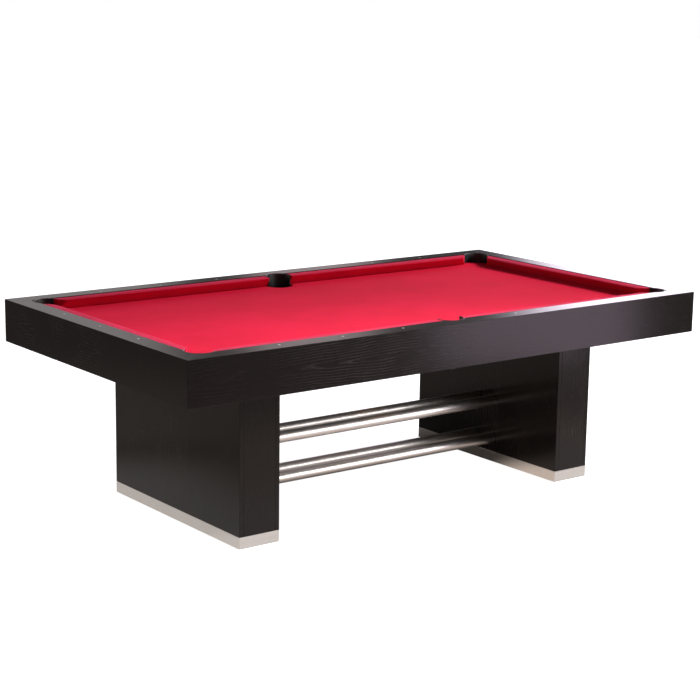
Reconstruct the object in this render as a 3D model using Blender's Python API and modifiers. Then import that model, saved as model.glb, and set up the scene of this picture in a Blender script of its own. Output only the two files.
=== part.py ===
"""Contemporary six-pocket pool table on two panel pedestals.

Metres, +Z up. X runs along the table, Y across it, and the origin is on the floor
under the middle of the table. Front is -Y, left is -X.
"""

import math

import bmesh
import bpy
from mathutils import Matrix, Vector

# Playing field, measured between the cushion noses, and the frame around it.
PLAY_LENGTH = 2.24
PLAY_WIDTH = 1.12
CUSHION_DEPTH = 0.050
WOOD_WIDTH = 0.078
RAIL_WIDTH = CUSHION_DEPTH + WOOD_WIDTH
TABLE_HEIGHT = 0.800
BED_HEIGHT = 0.757
NOSE_HEIGHT = 0.0355
CLOTH_THICKNESS = 0.001
GAP = 0.0003

# Slate bed.
SLATE_THICKNESS = 0.0254
SLATE_MARGIN = 0.100
SLATE_JOINT = 0.390

# Aprons, mitred to the rail tops along the top edge.
APRON_HEIGHT = 0.171
APRON_THICKNESS = 0.022

# Pockets: a turned bucket whose back wall rises to the rail top.
POCKET_RADIUS = 0.0575
POCKET_WALL = 0.004
POCKET_CLEARANCE = 0.0005
POCKET_BOTTOM = 0.603
POCKET_SEGMENTS = 32
CORNER_POCKET_OFFSET = 0.002
SIDE_POCKET_OFFSET = 0.016
SLATE_CUT_RADIUS = 0.0605
CLOTH_CUT_RADIUS = 0.0612
CORNER_MOUTH_SETBACK = 0.081
CORNER_FACING_SLOPE = 1.28
SIDE_MOUTH_HALF = 0.060
SIDE_FACING_SLOPE = -0.25

# Timber frame under the slate.
BEAM_HEIGHT = 0.045
CROSS_BEAM_WIDTH = 0.090
CROSS_BEAM_REACH = 0.640
CROSS_BEAM_PLACES = (-0.980, -SLATE_JOINT, SLATE_JOINT, 0.980)
LONG_BEAM_WIDTH = 0.060
LONG_BEAM_REACH = 1.050
LONG_BEAM_Y = 0.420

# Pedestals.
PEDESTAL_X = 0.795
PEDESTAL_THICKNESS = 0.178
PEDESTAL_WIDTH = 0.910
PANEL = 0.018
PLINTH_HEIGHT = 0.0455
SKIRT_WALL = 0.002

# Stretcher tubes between the pedestals.
TUBE_RADIUS = 0.024
TUBE_WALL = 0.002
TUBE_Y = 0.052
TUBE_HEIGHTS = {"lower": 0.107, "upper": 0.275}

# Levelling feet.
FOOT_Y = 0.380
RECESS_RADIUS = 0.032
RECESS_TOP = 0.024
PAD_RADIUS = 0.025
PAD_BOTTOM = 0.001
PAD_TOP = 0.012
SOCKET_RADIUS = 0.0066
SOCKET_FLOOR = 0.006
STUD_RADIUS = 0.006
STUD_BOTTOM = 0.0065
STUD_TOP = 0.095
HEX_RADIUS = 0.011
HEX_BOTTOM = 0.0145
HEX_TOP = 0.0205
STUD_HOLE_RADIUS = 0.0064

# Derived places.
HALF_PLAY_X = PLAY_LENGTH / 2
HALF_PLAY_Y = PLAY_WIDTH / 2
HALF_X = HALF_PLAY_X + RAIL_WIDTH
HALF_Y = HALF_PLAY_Y + RAIL_WIDTH
SLATE_TOP = BED_HEIGHT - CLOTH_THICKNESS - GAP
SLATE_BOTTOM = SLATE_TOP - SLATE_THICKNESS
CROSS_BEAM_TOP = SLATE_BOTTOM - GAP
LONG_BEAM_TOP = CROSS_BEAM_TOP - BEAM_HEIGHT - GAP
PEDESTAL_TOP = LONG_BEAM_TOP - BEAM_HEIGHT - GAP
PEDESTAL_BOTTOM = PLINTH_HEIGHT + GAP

# How each side's (along, outward) lengths turn into table coordinates.
SIDES = {
    "front": lambda along, outward: (along, -outward),
    "back": lambda along, outward: (along, outward),
    "left": lambda along, outward: (-outward, along),
    "right": lambda along, outward: (outward, along),
}


def clear_scene():
    for obj in list(bpy.data.objects):
        bpy.data.objects.remove(obj, do_unlink=True)


def make_collection(name):
    collection = bpy.data.collections.new(name)
    bpy.context.scene.collection.children.link(collection)
    return collection


def make_material(name, colour, roughness, metallic=0.0):
    material = bpy.data.materials.new(name)
    material.use_nodes = True
    shader = material.node_tree.nodes["Principled BSDF"]
    shader.inputs["Base Color"].default_value = (*colour, 1.0)
    shader.inputs["Roughness"].default_value = roughness
    shader.inputs["Metallic"].default_value = metallic
    material.diffuse_color = (*colour, 1.0)
    return material


def add_object(name, mesh, collection, location=(0, 0, 0), material=None):
    obj = bpy.data.objects.new(name, mesh)
    obj.location = location
    collection.objects.link(obj)
    if material:
        mesh.materials.append(material)
    return obj


def mesh_from(bm, name):
    bmesh.ops.recalc_face_normals(bm, faces=bm.faces)
    mesh = bpy.data.meshes.new(name)
    bm.to_mesh(mesh)
    bm.free()
    return mesh


def block_mesh(name, size):
    bm = bmesh.new()
    bmesh.ops.create_cube(bm, size=1.0, matrix=Matrix.Diagonal((*size, 1.0)))
    return mesh_from(bm, name)


def block(name, low, high, collection, material=None):
    """A box between two corners, with its origin at its centre."""
    low, high = Vector(low), Vector(high)
    mesh = block_mesh(name, high - low)
    return add_object(name, mesh, collection, (low + high) / 2, material)


def cylinder(name, radius, bottom, top, centre, collection, segments=POCKET_SEGMENTS):
    """An upright cylinder on the centre's (x, y), with its origin on its axis."""
    bm = bmesh.new()
    bmesh.ops.create_cone(
        bm,
        cap_ends=True,
        segments=segments,
        radius1=radius,
        radius2=radius,
        depth=top - bottom,
    )
    mesh = mesh_from(bm, name)
    return add_object(name, mesh, collection, (*centre, (bottom + top) / 2))


def cutter(obj):
    obj.hide_render = True
    obj.display_type = "WIRE"
    return obj


def boolean(obj, tool, operation="DIFFERENCE"):
    modifier = obj.modifiers.new(f"{operation.lower()} {tool.name}", "BOOLEAN")
    modifier.operation = operation
    modifier.solver = "EXACT"
    modifier.object = tool


def turned(name, profile, centre, collection, material, steps=POCKET_SEGMENTS):
    """A (radius, height) profile turned about the vertical axis through centre."""
    mesh = bpy.data.meshes.new(name)
    edges = [(i, i + 1) for i in range(len(profile) - 1)]
    mesh.from_pydata([(radius, 0, height) for radius, height in profile], edges, [])
    obj = add_object(name, mesh, collection, (*centre, 0), material)
    screw = obj.modifiers.new("turn", "SCREW")
    screw.steps = steps
    screw.render_steps = steps
    screw.use_merge_vertices = True
    screw.merge_threshold = 0.00001
    screw.use_smooth_shade = False
    return obj


def outline_mesh(name, outline, length):
    """A flat outline in X and Y, given a thickness along Z about zero."""
    curve = bpy.data.curves.new(name, "CURVE")
    curve.dimensions = "2D"
    curve.fill_mode = "BOTH"
    curve.extrude = length / 2
    spline = curve.splines.new("POLY")
    spline.points.add(len(outline) - 1)
    for point, (x, y) in zip(spline.points, outline):
        point.co = (x, y, 0, 1)
    spline.use_cyclic_u = True
    guide = bpy.data.objects.new(name, curve)
    bpy.context.scene.collection.objects.link(guide)
    bpy.context.view_layer.update()
    graph = bpy.context.evaluated_depsgraph_get()
    mesh = bpy.data.meshes.new_from_object(guide.evaluated_get(graph))
    bpy.data.objects.remove(guide, do_unlink=True)
    bpy.data.curves.remove(curve)
    return mesh


def edge_bar(name, side, profile, ends, collection, material):
    """A bar along one side of the table.

    profile lists (outward, height) points, outward from the table's centre line.
    ends gives (place, slope, reference) at each end, so that the end face runs
    through place + slope * (outward - reference).
    """
    mesh = outline_mesh(name, profile, 2.0)
    bm = bmesh.new()
    bm.from_mesh(mesh)
    bpy.data.meshes.remove(mesh)
    bmesh.ops.remove_doubles(bm, verts=bm.verts, dist=0.00001)
    for vertex in bm.verts:
        outward, height, along = vertex.co
        place, slope, reference = ends[1] if along > 0 else ends[0]
        across = SIDES[side](place + slope * (outward - reference), outward)
        vertex.co = (*across, height)
    middle = Vector((0, 0, 0))
    for vertex in bm.verts:
        middle += vertex.co / len(bm.verts)
    bmesh.ops.translate(bm, verts=bm.verts, vec=-middle)
    return add_object(name, mesh_from(bm, name), collection, middle, material)


def pocket_places():
    """Each pocket's name, its centre and the direction away from the bed."""
    places = {}
    corner_x = HALF_PLAY_X + CORNER_POCKET_OFFSET
    corner_y = HALF_PLAY_Y + CORNER_POCKET_OFFSET
    side_y = HALF_PLAY_Y + SIDE_POCKET_OFFSET
    for front_back, sign_y in (("front", -1), ("back", 1)):
        for left_right, sign_x in (("left", -1), ("right", 1)):
            centre = Vector((sign_x * corner_x, sign_y * corner_y))
            outward = Vector((sign_x, sign_y)).normalized()
            places[f"{front_back}_{left_right}"] = (centre, outward)
        centre = Vector((0, sign_y * side_y))
        places[f"{front_back}_middle"] = (centre, Vector((0, sign_y)))
    return places


def make_pockets(places, parts, cutters, material):
    """Buckets with an open front above the bed, and the cutters for what is round them."""
    wall, top = POCKET_WALL, TABLE_HEIGHT
    radius, bottom = POCKET_RADIUS, POCKET_BOTTOM
    outer = [
        (radius, top),
        (radius, bottom + 0.045),
        (radius - 0.002, bottom + 0.026),
        (radius - 0.010, bottom + 0.010),
        (radius - 0.027, bottom + 0.001),
        (0, bottom),
    ]
    inner = [(max(r - wall, 0), z + wall) for r, z in reversed(outer[1:])]
    rim = [(radius - wall, top), (radius, top)]
    rings, slots = {}, {}
    for name, (centre, outward) in places.items():
        angle = math.atan2(outward.y, outward.x)
        profile = outer + inner + rim
        bucket = turned(f"pocket_{name}", profile, centre, parts, material)
        bucket.rotation_euler.z = angle
        reach = 0.120
        front = block_mesh(f"pocket_front_{name}", (reach, reach * 2, 0.100))
        place = centre - outward * (reach / 2 + 0.006)
        opening = add_object(
            front.name, front, cutters, (*place, SLATE_TOP - 0.008 + 0.050)
        )
        opening.rotation_euler.z = angle
        boolean(bucket, cutter(opening))
        ring = cylinder(
            f"ring_{name}",
            POCKET_RADIUS + POCKET_CLEARANCE,
            SLATE_TOP - 0.01,
            TABLE_HEIGHT + 0.01,
            centre,
            cutters,
        )
        ring.rotation_euler.z = angle
        rings[name] = cutter(ring)
        slots[name] = {
            "slate": pocket_slot(name, centre, outward, SLATE_CUT_RADIUS, cutters),
            "cloth": pocket_slot(name, centre, outward, CLOTH_CUT_RADIUS, cutters),
        }
    return rings, slots


def pocket_slot(name, centre, outward, radius, cutters):
    """A round hole and a slot from it to the edge, as a pair of cutters."""
    angle = math.atan2(outward.y, outward.x)
    low, high = SLATE_BOTTOM - 0.02, BED_HEIGHT + 0.02
    hole = cylinder(f"hole_{name}", radius, low, high, centre, cutters)
    hole.rotation_euler.z = angle
    reach = 0.240
    size = (reach, 2 * (radius - 0.0006), high - low)
    slot = add_object(
        f"slot_{name}",
        block_mesh(f"slot_{name}", size),
        cutters,
        (*(centre + outward * reach / 2), (low + high) / 2),
    )
    slot.rotation_euler.z = angle
    return cutter(hole), cutter(slot)


def make_bed(slots, parts, slate_material, cloth_material):
    reach_x = HALF_PLAY_X + SLATE_MARGIN
    reach_y = HALF_PLAY_Y + SLATE_MARGIN
    joint = SLATE_JOINT
    spans = {
        "left": (-reach_x, -joint - GAP / 2),
        "middle": (-joint + GAP / 2, joint - GAP / 2),
        "right": (joint + GAP / 2, reach_x),
    }
    for name, (start, stop) in spans.items():
        low = (start, -reach_y, SLATE_BOTTOM)
        high = (stop, reach_y, SLATE_TOP)
        slate = block(f"slate_{name}", low, high, parts, slate_material)
        for pocket, pair in slots.items():
            if pocket.endswith(name):
                for tool in pair["slate"]:
                    boolean(slate, tool)
    low = (-reach_x, -reach_y, BED_HEIGHT - CLOTH_THICKNESS)
    high = (reach_x, reach_y, BED_HEIGHT)
    cloth = block("bed_cloth", low, high, parts, cloth_material)
    for pair in slots.values():
        for tool in pair["cloth"]:
            boolean(cloth, tool)


def cushion_profile(nose_line):
    """Nose, top, back and undercut of a cushion, outward from its nose line."""
    nose = BED_HEIGHT + NOSE_HEIGHT
    bottom = BED_HEIGHT + GAP
    back = CUSHION_DEPTH - GAP
    section = [
        (0.0000, nose - 0.0020),
        (0.0000, nose + 0.0005),
        (0.0025, nose + 0.0022),
        (0.0260, nose + 0.0045),
        (back, nose + 0.0050),
        (back, bottom),
        (0.0200, bottom),
        (0.0165, bottom + 0.0100),
    ]
    return [(nose_line + outward, height) for outward, height in section]


def make_cushions(rings, parts, material):
    corner = (CORNER_MOUTH_SETBACK, CORNER_FACING_SLOPE)
    for side in ("front", "back"):
        profile = cushion_profile(HALF_PLAY_Y)
        near = (SIDE_MOUTH_HALF, SIDE_FACING_SLOPE, HALF_PLAY_Y)
        far = (HALF_PLAY_X - corner[0], corner[1], HALF_PLAY_Y)
        for name, sign in (("left", -1), ("right", 1)):
            inner = (sign * near[0], sign * near[1], near[2])
            outer = (sign * far[0], sign * far[1], far[2])
            ends = (outer, inner) if sign < 0 else (inner, outer)
            cushion = edge_bar(
                f"cushion_{side}_{name}", side, profile, ends, parts, material
            )
            boolean(cushion, rings[f"{side}_{name}"])
            boolean(cushion, rings[f"{side}_middle"])
    for side in ("left", "right"):
        profile = cushion_profile(HALF_PLAY_X)
        place = HALF_PLAY_Y - corner[0]
        low = (-place, -corner[1], HALF_PLAY_X)
        high = (place, corner[1], HALF_PLAY_X)
        cushion = edge_bar(
            f"cushion_{side}", side, profile, (low, high), parts, material
        )
        for front_back in ("front", "back"):
            boolean(cushion, rings[f"{front_back}_{side}"])


def rail_profile(outer):
    """The wooden rail top: flat on the bed, with a mitred lip that meets the apron."""
    bottom = BED_HEIGHT + GAP
    inside = outer - APRON_THICKNESS - GAP
    return [
        (outer - WOOD_WIDTH, bottom),
        (inside, bottom),
        (inside, TABLE_HEIGHT - APRON_THICKNESS),
        (outer - GAP, TABLE_HEIGHT),
        (outer - WOOD_WIDTH, TABLE_HEIGHT),
    ]


def make_rails(rings, parts, material):
    mitre = GAP * 0.75
    for side in ("front", "back"):
        profile = rail_profile(HALF_Y)
        for name, sign in (("left", -1), ("right", 1)):
            inner = (sign * GAP / 2, 0, HALF_Y)
            outer = (sign * (HALF_X - mitre), sign, HALF_Y)
            ends = (outer, inner) if sign < 0 else (inner, outer)
            rail = edge_bar(f"rail_{side}_{name}", side, profile, ends, parts, material)
            boolean(rail, rings[f"{side}_{name}"])
            boolean(rail, rings[f"{side}_middle"])
    for side in ("left", "right"):
        profile = rail_profile(HALF_X)
        low = (-(HALF_Y - mitre), -1, HALF_X)
        high = (HALF_Y - mitre, 1, HALF_X)
        rail = edge_bar(f"rail_{side}", side, profile, (low, high), parts, material)
        for front_back in ("front", "back"):
            boolean(rail, rings[f"{front_back}_{side}"])


def make_aprons(parts, material):
    mitre = GAP * 0.75
    bottom = TABLE_HEIGHT - APRON_HEIGHT
    for side in SIDES:
        outer, length = (HALF_Y, HALF_X) if side in ("front", "back") else (HALF_X, HALF_Y)
        inside = outer - APRON_THICKNESS
        profile = [
            (outer, bottom),
            (outer, TABLE_HEIGHT),
            (inside, TABLE_HEIGHT - APRON_THICKNESS),
            (inside, bottom),
        ]
        low = (-(length - mitre), -1, outer)
        high = (length - mitre, 1, outer)
        edge_bar(f"apron_{side}", side, profile, (low, high), parts, material)


def make_frame(parts, material):
    for number, place in enumerate(CROSS_BEAM_PLACES, 1):
        low = (
            place - CROSS_BEAM_WIDTH / 2,
            -CROSS_BEAM_REACH,
            CROSS_BEAM_TOP - BEAM_HEIGHT,
        )
        high = (place + CROSS_BEAM_WIDTH / 2, CROSS_BEAM_REACH, CROSS_BEAM_TOP)
        block(f"cross_beam_{number}", low, high, parts, material)
    for name, sign in (("front", -1), ("back", 1)):
        middle, half = sign * LONG_BEAM_Y, LONG_BEAM_WIDTH / 2
        low = (-LONG_BEAM_REACH, middle - half, LONG_BEAM_TOP - BEAM_HEIGHT)
        high = (LONG_BEAM_REACH, middle + half, LONG_BEAM_TOP)
        block(f"long_beam_{name}", low, high, parts, material)


def make_pedestal(side, sign, parts, oak, board):
    """Two side panels cover the edges of two end panels, round a top board."""
    half_x, half_y = PEDESTAL_THICKNESS / 2, PEDESTAL_WIDTH / 2
    middle = sign * PEDESTAL_X
    low_z, high_z = PEDESTAL_BOTTOM, PEDESTAL_TOP
    for name, direction in (("outer", sign), ("inner", -sign)):
        faces = sorted((middle + direction * half_x, middle + direction * (half_x - PANEL)))
        low = (faces[0], -half_y, low_z)
        high = (faces[1], half_y, high_z)
        block(f"pedestal_{side}_{name}_panel", low, high, parts, oak)
    inside = half_x - PANEL - GAP
    for name, direction in (("front", -1), ("back", 1)):
        faces = sorted((direction * half_y, direction * (half_y - PANEL)))
        low = (middle - inside, faces[0], low_z)
        high = (middle + inside, faces[1], high_z)
        block(f"pedestal_{side}_{name}_panel", low, high, parts, oak)
    reach = half_y - PANEL - GAP
    low = (middle - inside, -reach, high_z - PANEL)
    high = (middle + inside, reach, high_z)
    block(f"pedestal_{side}_top_board", low, high, parts, board)


def make_plinth(side, sign, parts, cutters, metal, board):
    """A metal skirt round a base board that holds the levelling feet."""
    half_x, half_y = PEDESTAL_THICKNESS / 2, PEDESTAL_WIDTH / 2
    middle = sign * PEDESTAL_X
    low = (middle - half_x, -half_y, 0)
    high = (middle + half_x, half_y, PLINTH_HEIGHT)
    skirt = block(f"plinth_{side}_skirt", low, high, parts, metal)
    wall_x, wall_y = half_x - SKIRT_WALL, half_y - SKIRT_WALL
    low = (middle - wall_x, -wall_y, -0.01)
    high = (middle + wall_x, wall_y, PLINTH_HEIGHT + 0.01)
    boolean(skirt, cutter(block(f"skirt_hollow_{side}", low, high, cutters)))
    low = (middle - wall_x + GAP, -wall_y + GAP, 0)
    high = (middle + wall_x - GAP, wall_y - GAP, PLINTH_HEIGHT)
    base = block(f"plinth_{side}_base", low, high, parts, board)
    for name, y in (("front", -FOOT_Y), ("back", FOOT_Y)):
        place = (middle, y)
        recess = cylinder(
            f"recess_{side}_{name}", RECESS_RADIUS, -0.01, RECESS_TOP, place, cutters
        )
        hole = cylinder(
            f"stud_hole_{side}_{name}", STUD_HOLE_RADIUS, -0.01, 0.06, place, cutters
        )
        boolean(base, cutter(recess))
        boolean(base, cutter(hole))


def make_foot(name, place, parts, pad_material, steel):
    """A swivel pad and its threaded stud, both with their origins on the screw's axis."""
    pad = [
        (SOCKET_RADIUS, PAD_TOP),
        (0.0110, PAD_TOP),
        (0.0120, PAD_TOP - 0.0035),
        (PAD_RADIUS, PAD_BOTTOM + 0.0045),
        (PAD_RADIUS, PAD_BOTTOM),
        (0, PAD_BOTTOM),
    ]
    pad += [(0, SOCKET_FLOOR), (SOCKET_RADIUS, SOCKET_FLOOR), (SOCKET_RADIUS, PAD_TOP)]
    turned(f"foot_pad_{name}", pad, place, parts, pad_material, steps=24)
    stud = cylinder(
        f"foot_stud_{name}", STUD_RADIUS, STUD_BOTTOM, STUD_TOP, place, parts, 20
    )
    stud.data.materials.append(steel)
    return stud


def make_feet(parts, cutters, pad_material, steel):
    for side, sign in (("left", -1), ("right", 1)):
        for front_back, y in (("front", -FOOT_Y), ("back", FOOT_Y)):
            name = f"{side}_{front_back}"
            place = (sign * PEDESTAL_X, y)
            stud = make_foot(name, place, parts, pad_material, steel)
            nut = cylinder(
                f"hex_{name}", HEX_RADIUS, HEX_BOTTOM, HEX_TOP, place, cutters, 6
            )
            boolean(stud, cutter(nut), "UNION")


def make_tubes(parts, material):
    """Two pairs of tubes between the inner faces of the pedestals."""
    reach = PEDESTAL_X - PEDESTAL_THICKNESS / 2 - GAP
    for level, height in TUBE_HEIGHTS.items():
        for name, y in (("front", -TUBE_Y), ("back", TUBE_Y)):
            bm = bmesh.new()
            bmesh.ops.create_cone(
                bm,
                cap_ends=False,
                segments=28,
                radius1=TUBE_RADIUS,
                radius2=TUBE_RADIUS,
                depth=2 * reach,
                matrix=Matrix.Rotation(math.pi / 2, 4, "Y"),
            )
            mesh = mesh_from(bm, f"stretcher_{level}_{name}")
            tube = add_object(mesh.name, mesh, parts, (0, y, height), material)
            wall = tube.modifiers.new("wall", "SOLIDIFY")
            wall.thickness = TUBE_WALL
            wall.offset = -1


def shade_round_pieces(parts):
    for obj in parts.objects:
        if obj.name.startswith(("foot_stud", "stretcher")):
            obj.data.shade_smooth()
            obj.data.set_sharp_from_angle(angle=math.radians(35))


def main():
    clear_scene()
    parts = make_collection("pool_table")
    cutters = make_collection("cutters")
    oak = make_material("dark_oak", (0.030, 0.024, 0.022), 0.32)
    pine = make_material("frame_timber", (0.45, 0.32, 0.19), 0.70)
    slate = make_material("slate", (0.10, 0.11, 0.12), 0.60)
    cloth = make_material("red_cloth", (0.62, 0.02, 0.06), 0.95)
    black = make_material("pocket_black", (0.012, 0.012, 0.013), 0.45)
    metal = make_material("brushed_plinth", (0.62, 0.60, 0.58), 0.32, 1.0)
    steel = make_material("tube_steel", (0.72, 0.70, 0.68), 0.24, 1.0)
    pad = make_material("pad_black", (0.03, 0.03, 0.03), 0.60)
    rings, slots = make_pockets(pocket_places(), parts, cutters, black)
    make_bed(slots, parts, slate, cloth)
    make_cushions(rings, parts, cloth)
    make_rails(rings, parts, oak)
    make_aprons(parts, oak)
    make_frame(parts, pine)
    for side, sign in (("left", -1), ("right", 1)):
        make_pedestal(side, sign, parts, oak, pine)
        make_plinth(side, sign, parts, cutters, metal, pine)
    make_feet(parts, cutters, pad, steel)
    make_tubes(parts, steel)
    shade_round_pieces(parts)


main()
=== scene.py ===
"""The looks of a contemporary six-pocket pool table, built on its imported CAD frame.

Metres, +Z up. X runs along the table, Y across it. Front is -Y and left is -X.
"""

import math

import bmesh
import bpy
from mathutils import Matrix, Vector


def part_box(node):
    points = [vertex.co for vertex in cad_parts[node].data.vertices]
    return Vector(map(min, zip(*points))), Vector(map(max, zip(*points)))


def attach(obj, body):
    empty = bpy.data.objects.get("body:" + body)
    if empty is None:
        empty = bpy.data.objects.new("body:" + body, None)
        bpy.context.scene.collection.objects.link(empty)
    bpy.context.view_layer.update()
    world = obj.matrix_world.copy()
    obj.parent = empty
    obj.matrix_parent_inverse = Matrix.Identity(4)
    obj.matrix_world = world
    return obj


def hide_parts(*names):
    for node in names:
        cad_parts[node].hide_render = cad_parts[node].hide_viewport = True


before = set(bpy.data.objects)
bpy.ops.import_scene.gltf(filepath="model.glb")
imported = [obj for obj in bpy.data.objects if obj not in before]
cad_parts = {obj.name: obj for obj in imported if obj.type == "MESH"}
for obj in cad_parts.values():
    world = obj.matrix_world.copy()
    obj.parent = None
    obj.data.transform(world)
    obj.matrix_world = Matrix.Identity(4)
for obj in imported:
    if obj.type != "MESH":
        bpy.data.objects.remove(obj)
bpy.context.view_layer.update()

# The camera, at the photograph's viewing angle.
CAMERA_PLACE = Vector((-4.306, -5.634, 2.066))
CAMERA_YAW = math.radians(37.12)
CAMERA_PITCH = math.radians(11.91)
CAMERA_ROLL = math.radians(0.843)
CAMERA_LENS = 90.5

# Edge rounding of the carried-over CAD nodes, by the start of their names.
EDGE_ROUNDING = {
    "apron": 0.0011,
    "rail": 0.0013,
    "pedestal": 0.0009,
    "plinth": 0.0005,
    "cross_beam": 0.0020,
    "long_beam": 0.0020,
    "slate": 0.0010,
}

# The cushions' section and ends, as the CAD has them.
CUSHION_TOP_RISE = 0.0050
CORNER_MOUTH_SETBACK = 0.081
CORNER_FACING_SLOPE = 1.28
SIDE_MOUTH_HALF = 0.060
SIDE_FACING_SLOPE = -0.25
POCKET_CLEARANCE = 0.0004

# The bed cloth's cut and its turned-down lip at each pocket.
CLOTH_THICKNESS = 0.0009
CLOTH_LIP_RADIUS = 0.0028
CLOTH_LIP_DROP = 0.016
CLOTH_WALL_RADIUS = 0.0597
CLOTH_ARC_STEPS = 32

# Pocket liners. The outside rises through (inset from the full radius, height above the bottom).
LINER_WALL = 0.004
LINER_OUTSIDE = (
    (0.027, 0.001), (0.014, 0.0065), (0.006, 0.017), (0.0015, 0.034), (0.0, 0.048), (0.0, 0.100),
    (0.0, 0.108),
)
LINER_STEPS = 72
LINER_LIP_ROUNDING = 0.0011
LINER_FRONT_DROP = 0.0095
LINER_FRONT_SETBACK = 0.0062
LINER_FRONT_REACH = 0.120
GROOVE_DEPTH = 0.0012
GROOVE_TOP = 0.105
GROOVE_PITCH = 6
GROOVE_WIDTH = 2

# Sights let into the wooden rails, each turned from (radius, height above the rail).
SIGHT_PROFILE = (
    (0, -0.0015), (0.0050, -0.0015), (0.0050, 0.0), (0.0047, 0.00022), (0.0030, 0.00042), (0, 0.0005),
)
SIGHT_INSET = 0.0475
SIGHT_SPACING = 0.280

# Stretcher tubes.
TUBE_WALL = 0.002
TUBE_END_EASE = 0.0007
TUBE_STEPS = 96

# Levelling feet: the stud's thread and its hexagon.
STUD_RADIUS = 0.0060
STUD_SOCKET = 0.0066
STUD_END_LENGTH = 0.0015
STUD_END_TAPER = 0.0010
THREAD_PITCH = 0.00175
THREAD_DEPTH = 0.0009
THREAD_ROWS = 6
THREAD_STEPS = 24
HEX_BOTTOM = 0.0145
HEX_TOP = 0.0205
HEX_RADIUS = 0.0110

# Fasteners: (radius, height) of the bolt heads, and where the rail bolts stand.
WASHER = 0.0015
RAIL_BOLT = (0.0095, 0.006)
FRAME_BOLT = (0.0085, 0.0055)
RAIL_BOLT_OUT = 0.075
LONG_RAIL_BOLTS = (-0.84, -0.58, -0.20, 0.20, 0.58, 0.84)
SHORT_RAIL_BOLTS = (-0.30, 0.0, 0.30)

# The floor is white to the camera. To the table it is dark and gives painted light instead: it glows
# close round the plinths, in a patch in front and, more faintly, in a ring round the table's outline,
# which is dimmed under the table as a painted shadow. A row of two numbers is where a change starts
# and ends, in metres, and two more are the glow at its start and its end.
FLOOR_RADIUS = 60.0
FLOOR_SEEN_GLOW = 0.96
FLOOR_SEEN_COLOUR = 0.60
FLOOR_DIM_COLOUR = 0.10
FLOOR_GLOW_TINT = (1.0, 0.84, 0.74)
PLINTH_HALO = (0.12, 1.00, 0.62, 0.0)
PLINTH_HALO_X = (0.70, 0.80)
PLINTH_HALO_Y = (-0.40, -0.46)
FLOOR_SHADOW = (0.05, 0.55, 0.02, 0.27)
FLOOR_FADE = (1.6, 2.8, 1.0, 0.3)
FRONT_START = (0.00, -0.30, 0.0, 0.72)
FRONT_FADE = (-2.6, -1.6)
FRONT_ENDS = (2.2, 1.2)

# What stands round the table: the azimuths between which each patch fades in and out, from +X
# towards +Y in degrees, the height where it fades out, and its glow and colour.
AMBIENT = 0.08
PATCHES = (
    ("window", (8.0, 16.0), (44.8, 48.3), (24.0, 32.0), 3.9, (1.0, 0.88, 1.03)),
    ("wall", (51.2, 53.2), (55.4, 56.8), (25.0, 40.0), 0.70, (1.0, 0.82, 0.85)),
    ("far_wall", (57.5, 60.0), (80.0, 100.0), (25.0, 40.0), 0.50, (1.0, 0.92, 0.92)),
    ("left_wall", (95.0, 115.0), (150.0, 170.0), (12.0, 30.0), 1.15, (1.0, 0.92, 0.82)),
)

# Lamps: name, place, what each points at, size, power, spread in degrees and colour.
LAMPS = (
    ("key", (7.56, -1.06, 5.52), (0.0, 0.0, 0.75), (2.0, 2.0), 750.0, 180.0, (1.0, 0.95, 0.98)),
    ("near_side", (4.5, -1.9, 3.1), (-0.5, -0.85, 0.75), (0.6, 0.6), 13.0, 24.0, (1.0, 0.92, 0.98)),
    ("tube_card", (2.5, -3.8, 1.20), (0.0, 0.0, 0.27), (2.6, 1.5), 70.0, 180.0, (1.0, 0.97, 0.96)),
    ("apron_card", (2.15, -2.6, 0.27), (0.5, -0.69, 0.72), (1.05, 0.5), 4.6, 180.0, (1.0, 0.80, 1.0)),
)

FOOT_NAMES = ("left_front", "left_back", "right_front", "right_back")


def box_of(node):
    """A CAD node's low corner, high corner and middle."""
    low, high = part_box(node)
    return low, high, (low + high) / 2


BED_HEIGHT = box_of("bed_cloth")[1].z
RAIL_TOP = box_of("rail_left")[1].z
HALF_PLAY_X = -box_of("cushion_left")[1].x
HALF_PLAY_Y = -box_of("cushion_front_left")[1].y
HALF_X = -box_of("rail_left")[0].x
HALF_Y = -box_of("rail_front_left")[0].y
WOOD_WIDTH = box_of("rail_left")[1].x - box_of("rail_left")[0].x
POCKETS = [f"{side}_{place}" for side in ("front", "back") for place in ("left", "middle", "right")]

SIDES = {
    "front": lambda along, outward: (along, -outward),
    "back": lambda along, outward: (along, outward),
    "left": lambda along, outward: (-outward, along),
    "right": lambda along, outward: (outward, along),
}


def pocket_centre(pocket):
    return box_of(f"pocket_{pocket}")[2].to_2d()


def pocket_outward(pocket):
    """The direction from the bed out through a pocket."""
    side, place = pocket.split("_")
    across = -1 if side == "front" else 1
    along = {"left": -1, "middle": 0, "right": 1}[place]
    return Vector((along, across)).normalized()


# ---------------------------------------------------------------- node materials


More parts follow.
